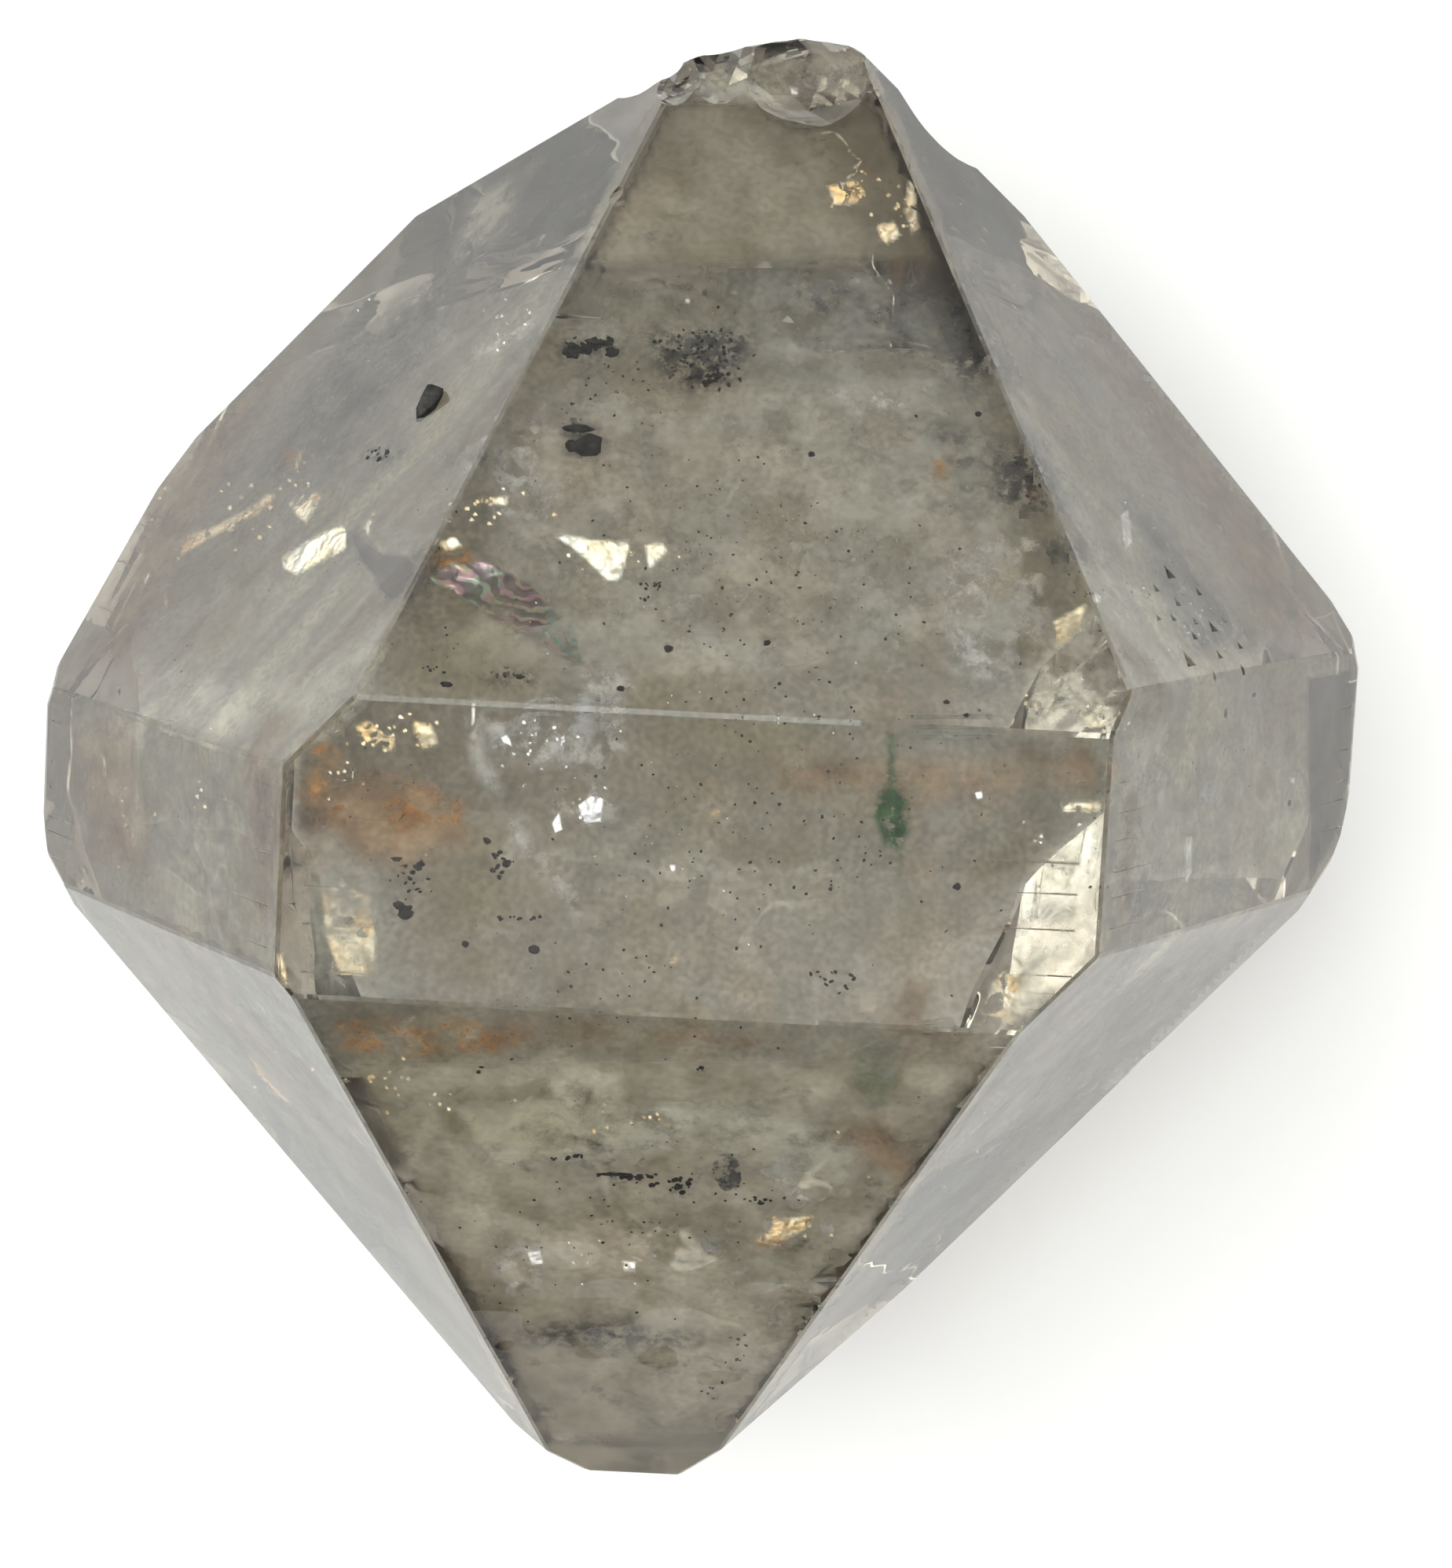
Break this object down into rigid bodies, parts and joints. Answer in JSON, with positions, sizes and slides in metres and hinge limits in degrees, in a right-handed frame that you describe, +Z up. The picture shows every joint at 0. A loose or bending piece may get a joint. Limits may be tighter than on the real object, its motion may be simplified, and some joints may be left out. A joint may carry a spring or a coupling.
{
  "type": "herkimer diamond",
  "caption": "Doubly terminated quartz crystal, short and stout, with flat prism and tip faces, worn tips and dark specks inside, lying on one prism face.",
  "frame": {"origin": "on the surface it lies on, under the middle of the crystal's box", "axes": "+Y along the crystal's long axis towards its upper tip, +Z up out of the broad prism face that looks up, +X to the right"},
  "size_m": [0.0178, 0.0196, 0.0124],
  "materials": {
    "quartz": "clear to faintly smoky, polished by growth",
    "bitumen": "dull black specks sealed in the quartz",
    "fracture": "thin inner cracks and healed veils with a bright sheen",
    "stain": "thin brown and green mineral films inside"
  },
  "bodies": {
    "root": {"crystal": "quartz"}
  },
  "joints": []
}
